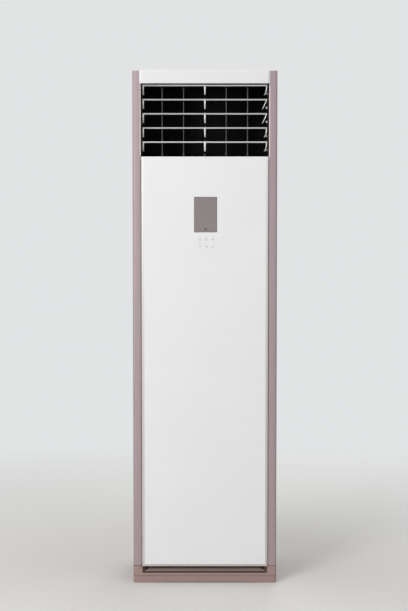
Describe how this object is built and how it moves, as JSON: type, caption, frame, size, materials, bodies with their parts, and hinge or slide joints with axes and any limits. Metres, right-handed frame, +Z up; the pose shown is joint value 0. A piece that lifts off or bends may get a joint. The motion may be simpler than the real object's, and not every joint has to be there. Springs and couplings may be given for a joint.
{
  "type": "floor standing air conditioner",
  "caption": "Tall cabinet air conditioner: coupled horizontal louvers over upright vanes, hinged front panel with display and keys, side filters, inner fan and coil",
  "frame": {"origin": "middle of the footprint on the floor", "axes": "+Z up, front faces -Y, +X to the right seen from the front"},
  "size_m": [0.5, 0.315, 1.78],
  "materials": {
    "white_shell": "satin, smooth moulded white",
    "mauve_trim": "satin metallic mauve",
    "mauve_sheet": "satin powder coat, mauve",
    "galvanised_steel": "galvanised, dull spangle",
    "black_plastic": "matte",
    "grey_vane": "matte dark grey",
    "smoked_window": "gloss, smoked grey mauve",
    "foam": "expanded foam",
    "dark_foam": "expanded foam, dark",
    "rubber_pad": "matte",
    "aluminium_fins": "bright fins",
    "copper_tube": "copper, drawn",
    "circuit_board": "solder mask",
    "filter_mesh": "fine net in a moulded frame",
    "motor_paint": "satin dark grey",
    "screw_steel": "zinc plated",
    "white_plastic": "moulded, satin"
  },
  "bodies": {
    "cabinet": {"base_plinth": "mauve_trim", "foot_pads": "rubber_pad", "base_pan": "galvanised_steel", "left_column": "mauve_trim", "right_column": "mauve_trim", "left_side_panel": "mauve_sheet", "right_side_panel": "mauve_sheet", "back_panel": "galvanised_steel", "top_cover": "white_shell", "outlet_frame": "black_plastic", "bearing_strips": "black_plastic", "vane_rails": "black_plastic", "stepper_motors": "motor_paint", "fan_scroll": "galvanised_steel", "inlet_rings": "white_plastic", "fan_motor": "motor_paint", "motor_bracket": "galvanised_steel", "fan_deck": "galvanised_steel", "air_duct": "dark_foam", "drip_tray": "white_plastic", "drain_pipe": "white_plastic", "evaporator_fins": "aluminium_fins", "evaporator_tubes": "copper_tube", "evaporator_end_plates": "galvanised_steel", "refrigerant_pipes": "copper_tube", "filter_rails": "white_plastic", "electrical_box": "galvanised_steel", "electrical_cover": "galvanised_steel", "control_board": "circuit_board", "terminal_block": "black_plastic", "cord_gland": "black_plastic", "fixing_plate": "galvanised_steel", "cabinet_screws": "screw_steel"},
    "panel": {"front_panel": "white_shell", "panel_insulation": "foam", "display_window": "smoked_window", "display_housing": "black_plastic", "display_board": "circuit_board"},
    "fan": {"fan_wheel": "grey_vane", "fan_shaft": "screw_steel"},
    "left_filter_cassette": {"left_filter": "filter_mesh"},
    "right_filter_cassette": {"right_filter": "filter_mesh"},
    "louver_link_bar": {"louver_link": "black_plastic"},
    "vane_link_bar": {"vane_link": "black_plastic"},
    "louver_blade_1": {"louver_1": "white_shell"},
    "vane_blade_1": {"vane_1": "grey_vane"},
    "louver_blade_2": {"louver_2": "white_shell"},
    "vane_blade_2": {"vane_2": "grey_vane"},
    "louver_blade_3": {"louver_3": "white_shell"},
    "vane_blade_3": {"vane_3": "grey_vane"},
    "louver_blade_4": {"louver_4": "white_shell"},
    "vane_blade_4": {"vane_4": "grey_vane"},
    "louver_blade_5": {"louver_5": "white_shell"},
    "vane_blade_5": {"vane_5": "grey_vane"},
    "power_key": {"key_power": "white_shell"},
    "mode_key": {"key_mode": "white_shell"},
    "speed_key": {"key_speed": "white_shell"},
    "cooler_key": {"key_cooler": "white_shell"},
    "warmer_key": {"key_warmer": "white_shell"},
    "swing_key": {"key_swing": "white_shell"}
  },
  "joints": [
    {"name": "panel_swing", "type": "hinge", "parent": "cabinet", "child": "panel", "pos_m": [0, -0.144, 1.4775], "axis": [-1, 0, 0], "range_deg": [0, 12]},
    {"name": "fan_spin", "type": "hinge", "parent": "cabinet", "child": "fan", "pos_m": [0, -0.002, 0.33], "axis": [1, 0, 0], "continuous": true},
    {"name": "left_filter_slide", "type": "slide", "parent": "cabinet", "child": "left_filter_cassette", "axis": [0, 1, 0], "range_m": [0, 0.225]},
    {"name": "right_filter_slide", "type": "slide", "parent": "cabinet", "child": "right_filter_cassette", "axis": [0, 1, 0], "range_m": [0, 0.225]},
    {"name": "louver_1_tilt", "type": "hinge", "parent": "cabinet", "child": "louver_blade_1", "pos_m": [0, -0.12, 1.7045], "axis": [1, 0, 0], "range_deg": [0, 90]},
    {"name": "louver_2_tilt", "type": "hinge", "parent": "cabinet", "child": "louver_blade_2", "pos_m": [0, -0.12, 1.656], "axis": [1, 0, 0], "range_deg": [0, 90]},
    {"name": "louver_3_tilt", "type": "hinge", "parent": "cabinet", "child": "louver_blade_3", "pos_m": [0, -0.12, 1.6075], "axis": [1, 0, 0], "range_deg": [0, 90]},
    {"name": "louver_4_tilt", "type": "hinge", "parent": "cabinet", "child": "louver_blade_4", "pos_m": [0, -0.12, 1.559], "axis": [1, 0, 0], "range_deg": [0, 90]},
    {"name": "louver_5_tilt", "type": "hinge", "parent": "cabinet", "child": "louver_blade_5", "pos_m": [0, -0.12, 1.5105], "axis": [1, 0, 0], "range_deg": [0, 90]},
    {"name": "louver_link_swing", "type": "hinge", "parent": "louver_blade_1", "child": "louver_link_bar", "pos_m": [0.0045, -0.08455, 1.69825], "axis": [1, 0, 0], "range_deg": [-90, 0]},
    {"name": "vane_1_swing", "type": "hinge", "parent": "cabinet", "child": "vane_blade_1", "pos_m": [-0.15, -0.052, 1.4965], "axis": [0, 0, 1], "range_deg": [-35, 35]},
    {"name": "vane_2_swing", "type": "hinge", "parent": "cabinet", "child": "vane_blade_2", "pos_m": [-0.075, -0.052, 1.4965], "axis": [0, 0, 1], "range_deg": [-35, 35]},
    {"name": "vane_3_swing", "type": "hinge", "parent": "cabinet", "child": "vane_blade_3", "pos_m": [0, -0.052, 1.4965], "axis": [0, 0, 1], "range_deg": [-35, 35]},
    {"name": "vane_4_swing", "type": "hinge", "parent": "cabinet", "child": "vane_blade_4", "pos_m": [0.075, -0.052, 1.4965], "axis": [0, 0, 1], "range_deg": [-35, 35]},
    {"name": "vane_5_swing", "type": "hinge", "parent": "cabinet", "child": "vane_blade_5", "pos_m": [0.15, -0.052, 1.4965], "axis": [0, 0, 1], "range_deg": [-35, 35]},
    {"name": "vane_link_swing", "type": "hinge", "parent": "vane_blade_1", "child": "vane_link_bar", "pos_m": [-0.15, -0.027, 1.4908], "axis": [0, 0, 1], "range_deg": [-35, 35]},
    {"name": "power_key_press", "type": "slide", "parent": "panel", "child": "power_key", "axis": [0, 1, 0], "range_m": [0, 0.001], "stiffness_N_per_m": 400, "springref_m": -0.0005},
    {"name": "mode_key_press", "type": "slide", "parent": "panel", "child": "mode_key", "axis": [0, 1, 0], "range_m": [0, 0.001], "stiffness_N_per_m": 400, "springref_m": -0.0005},
    {"name": "speed_key_press", "type": "slide", "parent": "panel", "child": "speed_key", "axis": [0, 1, 0], "range_m": [0, 0.001], "stiffness_N_per_m": 400, "springref_m": -0.0005},
    {"name": "cooler_key_press", "type": "slide", "parent": "panel", "child": "cooler_key", "axis": [0, 1, 0], "range_m": [0, 0.001], "stiffness_N_per_m": 400, "springref_m": -0.0005},
    {"name": "warmer_key_press", "type": "slide", "parent": "panel", "child": "warmer_key", "axis": [0, 1, 0], "range_m": [0, 0.001], "stiffness_N_per_m": 400, "springref_m": -0.0005},
    {"name": "swing_key_press", "type": "slide", "parent": "panel", "child": "swing_key", "axis": [0, 1, 0], "range_m": [0, 0.001], "stiffness_N_per_m": 400, "springref_m": -0.0005}
  ],
  "couplings": [
    {"joint": "louver_2_tilt", "follows": "louver_1_tilt", "ratio": 1},
    {"joint": "louver_3_tilt", "follows": "louver_1_tilt", "ratio": 1},
    {"joint": "louver_4_tilt", "follows": "louver_1_tilt", "ratio": 1},
    {"joint": "louver_5_tilt", "follows": "louver_1_tilt", "ratio": 1},
    {"joint": "louver_link_swing", "follows": "louver_1_tilt", "ratio": -1},
    {"joint": "vane_2_swing", "follows": "vane_1_swing", "ratio": 1},
    {"joint": "vane_3_swing", "follows": "vane_1_swing", "ratio": 1},
    {"joint": "vane_4_swing", "follows": "vane_1_swing", "ratio": 1},
    {"joint": "vane_5_swing", "follows": "vane_1_swing", "ratio": 1},
    {"joint": "vane_link_swing", "follows": "vane_1_swing", "ratio": -1}
  ]
}
